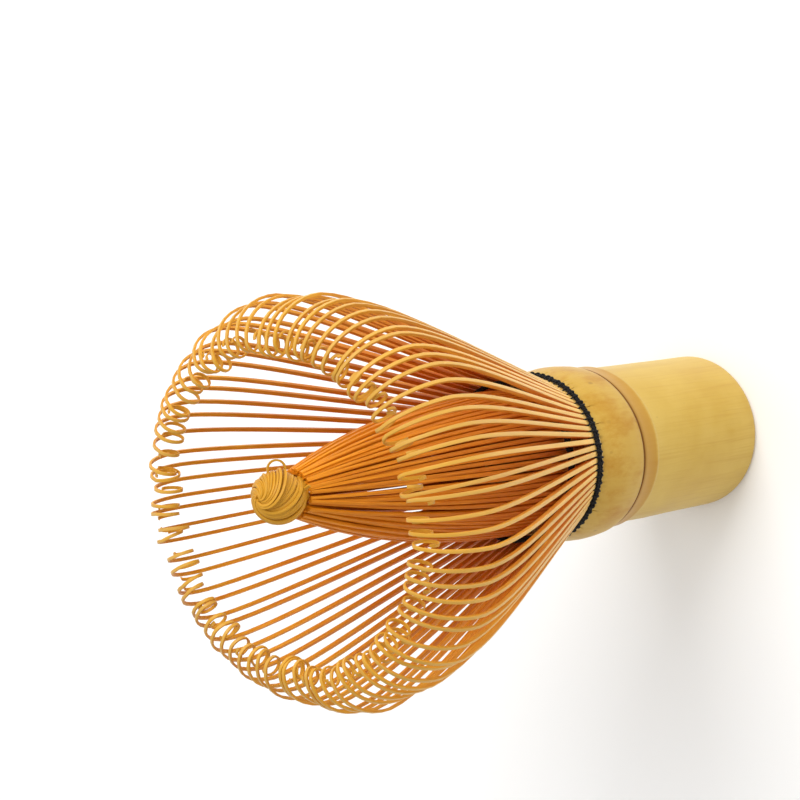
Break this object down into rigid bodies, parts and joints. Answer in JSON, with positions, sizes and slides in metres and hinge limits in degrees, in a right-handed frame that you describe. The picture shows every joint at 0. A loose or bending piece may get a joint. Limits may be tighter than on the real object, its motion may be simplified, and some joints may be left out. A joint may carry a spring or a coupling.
{
  "type": "bamboo tea whisk",
  "caption": "Tea whisk split from one bamboo culm: hollow handle with a node, laced combs of springy tines fanned into a curled crown, and an inner bundle twisted shut at its tip.",
  "frame": {"origin": "centre of the flat cut end of the handle, which the whisk stands on", "axes": "+Z along the whisk's axis, from the handle to the tips; +X through the middle of the first stave"},
  "size_m": [0.0612, 0.0612, 0.105],
  "materials": {
    "bamboo_skin": "dried bamboo skin, satin, fine lengthwise fibre",
    "bamboo_tine": "split bamboo with its pale skin outside, satin",
    "bamboo_inner": "shaved inner bamboo, matt with a silky fibre",
    "cotton_thread": "twisted black cotton thread, matt"
  },
  "bodies": {
    "culm": {"handle": "bamboo_skin", "lower_lacing": "cotton_thread"},
    "inner_bundle": {"inner_comb_01": "bamboo_inner", "inner_comb_02": "bamboo_inner", "inner_comb_03": "bamboo_inner", "inner_comb_04": "bamboo_inner", "inner_comb_05": "bamboo_inner", "inner_comb_06": "bamboo_inner", "inner_comb_07": "bamboo_inner", "inner_comb_08": "bamboo_inner", "inner_comb_09": "bamboo_inner", "inner_comb_10": "bamboo_inner", "inner_comb_11": "bamboo_inner", "inner_comb_12": "bamboo_inner", "inner_comb_13": "bamboo_inner", "inner_comb_14": "bamboo_inner", "inner_comb_15": "bamboo_inner", "inner_comb_16": "bamboo_inner", "twisted_tip": "bamboo_inner", "upper_lacing": "cotton_thread"},
    "outer_stave_01": {"outer_comb_01": "bamboo_tine"},
    "outer_stave_02": {"outer_comb_02": "bamboo_tine"},
    "outer_stave_03": {"outer_comb_03": "bamboo_tine"},
    "outer_stave_04": {"outer_comb_04": "bamboo_tine"},
    "outer_stave_05": {"outer_comb_05": "bamboo_tine"},
    "outer_stave_06": {"outer_comb_06": "bamboo_tine"},
    "outer_stave_07": {"outer_comb_07": "bamboo_tine"},
    "outer_stave_08": {"outer_comb_08": "bamboo_tine"},
    "outer_stave_09": {"outer_comb_09": "bamboo_tine"},
    "outer_stave_10": {"outer_comb_10": "bamboo_tine"},
    "outer_stave_11": {"outer_comb_11": "bamboo_tine"},
    "outer_stave_12": {"outer_comb_12": "bamboo_tine"},
    "outer_stave_13": {"outer_comb_13": "bamboo_tine"},
    "outer_stave_14": {"outer_comb_14": "bamboo_tine"},
    "outer_stave_15": {"outer_comb_15": "bamboo_tine"},
    "outer_stave_16": {"outer_comb_16": "bamboo_tine"}
  },
  "joints": [
    {"name": "bundle_sway", "type": "hinge", "parent": "culm", "child": "inner_bundle", "pos_m": [0, 0, 0.0458], "axis": [0, 1, 0], "range_deg": [-3, 3], "stiffness_Nm_per_rad": 0.12},
    {"name": "stave_flex_01", "type": "hinge", "parent": "culm", "child": "outer_stave_01", "pos_m": [0.01295, 0, 0.0452], "axis": [0, 1, 0], "range_deg": [-3, 6], "stiffness_Nm_per_rad": 0.01},
    {"name": "stave_flex_02", "type": "hinge", "parent": "culm", "child": "outer_stave_02", "pos_m": [0.01196, 0.00496, 0.0452], "axis": [-0.3827, 0.9239, 0], "range_deg": [-3, 6], "stiffness_Nm_per_rad": 0.01},
    {"name": "stave_flex_03", "type": "hinge", "parent": "culm", "child": "outer_stave_03", "pos_m": [0.00916, 0.00916, 0.0452], "axis": [-0.7071, 0.7071, 0], "range_deg": [-3, 6], "stiffness_Nm_per_rad": 0.01},
    {"name": "stave_flex_04", "type": "hinge", "parent": "culm", "child": "outer_stave_04", "pos_m": [0.00496, 0.01196, 0.0452], "axis": [-0.9239, 0.3827, 0], "range_deg": [-3, 6], "stiffness_Nm_per_rad": 0.01},
    {"name": "stave_flex_05", "type": "hinge", "parent": "culm", "child": "outer_stave_05", "pos_m": [0, 0.01295, 0.0452], "axis": [-1, 0, 0], "range_deg": [-3, 6], "stiffness_Nm_per_rad": 0.01},
    {"name": "stave_flex_06", "type": "hinge", "parent": "culm", "child": "outer_stave_06", "pos_m": [-0.00496, 0.01196, 0.0452], "axis": [-0.9239, -0.3827, 0], "range_deg": [-3, 6], "stiffness_Nm_per_rad": 0.01},
    {"name": "stave_flex_07", "type": "hinge", "parent": "culm", "child": "outer_stave_07", "pos_m": [-0.00916, 0.00916, 0.0452], "axis": [-0.7071, -0.7071, 0], "range_deg": [-3, 6], "stiffness_Nm_per_rad": 0.01},
    {"name": "stave_flex_08", "type": "hinge", "parent": "culm", "child": "outer_stave_08", "pos_m": [-0.01196, 0.00496, 0.0452], "axis": [-0.3827, -0.9239, 0], "range_deg": [-3, 6], "stiffness_Nm_per_rad": 0.01},
    {"name": "stave_flex_09", "type": "hinge", "parent": "culm", "child": "outer_stave_09", "pos_m": [-0.01295, 0, 0.0452], "axis": [0, -1, 0], "range_deg": [-3, 6], "stiffness_Nm_per_rad": 0.01},
    {"name": "stave_flex_10", "type": "hinge", "parent": "culm", "child": "outer_stave_10", "pos_m": [-0.01196, -0.00496, 0.0452], "axis": [0.3827, -0.9239, 0], "range_deg": [-3, 6], "stiffness_Nm_per_rad": 0.01},
    {"name": "stave_flex_11", "type": "hinge", "parent": "culm", "child": "outer_stave_11", "pos_m": [-0.00916, -0.00916, 0.0452], "axis": [0.7071, -0.7071, 0], "range_deg": [-3, 6], "stiffness_Nm_per_rad": 0.01},
    {"name": "stave_flex_12", "type": "hinge", "parent": "culm", "child": "outer_stave_12", "pos_m": [-0.00496, -0.01196, 0.0452], "axis": [0.9239, -0.3827, 0], "range_deg": [-3, 6], "stiffness_Nm_per_rad": 0.01},
    {"name": "stave_flex_13", "type": "hinge", "parent": "culm", "child": "outer_stave_13", "pos_m": [0, -0.01295, 0.0452], "axis": [1, 0, 0], "range_deg": [-3, 6], "stiffness_Nm_per_rad": 0.01},
    {"name": "stave_flex_14", "type": "hinge", "parent": "culm", "child": "outer_stave_14", "pos_m": [0.00496, -0.01196, 0.0452], "axis": [0.9239, 0.3827, 0], "range_deg": [-3, 6], "stiffness_Nm_per_rad": 0.01},
    {"name": "stave_flex_15", "type": "hinge", "parent": "culm", "child": "outer_stave_15", "pos_m": [0.00916, -0.00916, 0.0452], "axis": [0.7071, 0.7071, 0], "range_deg": [-3, 6], "stiffness_Nm_per_rad": 0.01},
    {"name": "stave_flex_16", "type": "hinge", "parent": "culm", "child": "outer_stave_16", "pos_m": [0.01196, -0.00496, 0.0452], "axis": [0.3827, 0.9239, 0], "range_deg": [-3, 6], "stiffness_Nm_per_rad": 0.01}
  ]
}
